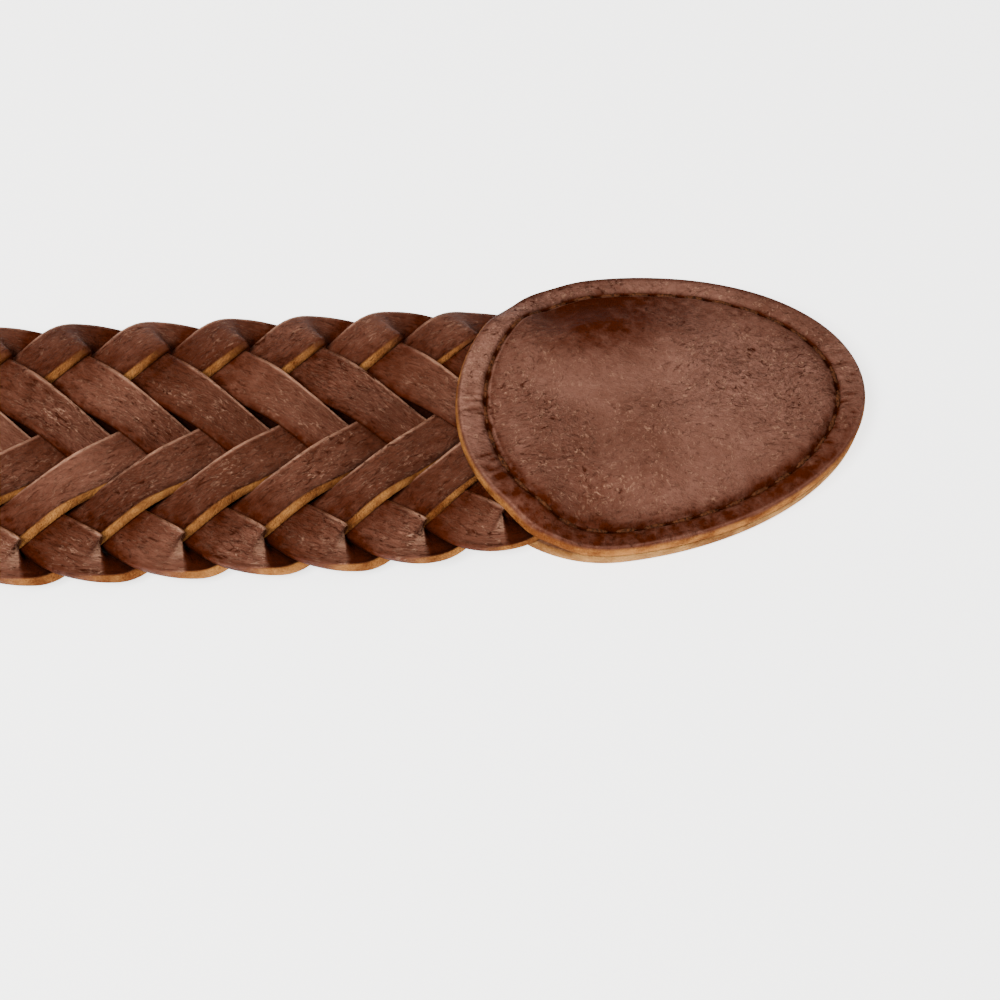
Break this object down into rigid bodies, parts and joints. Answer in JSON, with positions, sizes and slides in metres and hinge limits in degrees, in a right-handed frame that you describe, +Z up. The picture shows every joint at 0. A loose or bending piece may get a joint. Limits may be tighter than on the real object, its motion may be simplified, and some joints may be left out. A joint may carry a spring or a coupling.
{
  "type": "braided belt",
  "caption": "Braided leather strap belt with a stitched oval leather tip, a folded leather tab and a plain framed buckle with a tongue.",
  "frame": {"origin": "middle of the belt's length and width, on the surface that it lies on", "axes": "+X along the belt towards the leather tip, +Y across the belt, +Z up through the belt's face"},
  "size_m": [0.94, 0.056, 0.0092],
  "materials": {
    "strand_leather": "waxed grain leather with raw tan cut edges",
    "tip_leather": "waxed grain leather, burnished dark round the seam",
    "back_leather": "matt lining leather with a pale raw edge",
    "tab_leather": "waxed grain leather",
    "buckle_metal": "brushed"
  },
  "bodies": {
    "root": {"strand_1": "strand_leather", "strand_2": "strand_leather", "strand_3": "strand_leather", "strand_4": "strand_leather", "strand_5": "strand_leather", "strand_6": "strand_leather", "strand_7": "strand_leather", "strand_8": "strand_leather", "strand_9": "strand_leather", "tip_front": "tip_leather", "tip_back": "back_leather", "buckle_tab": "tab_leather", "buckle": "buckle_metal"}
  },
  "joints": []
}
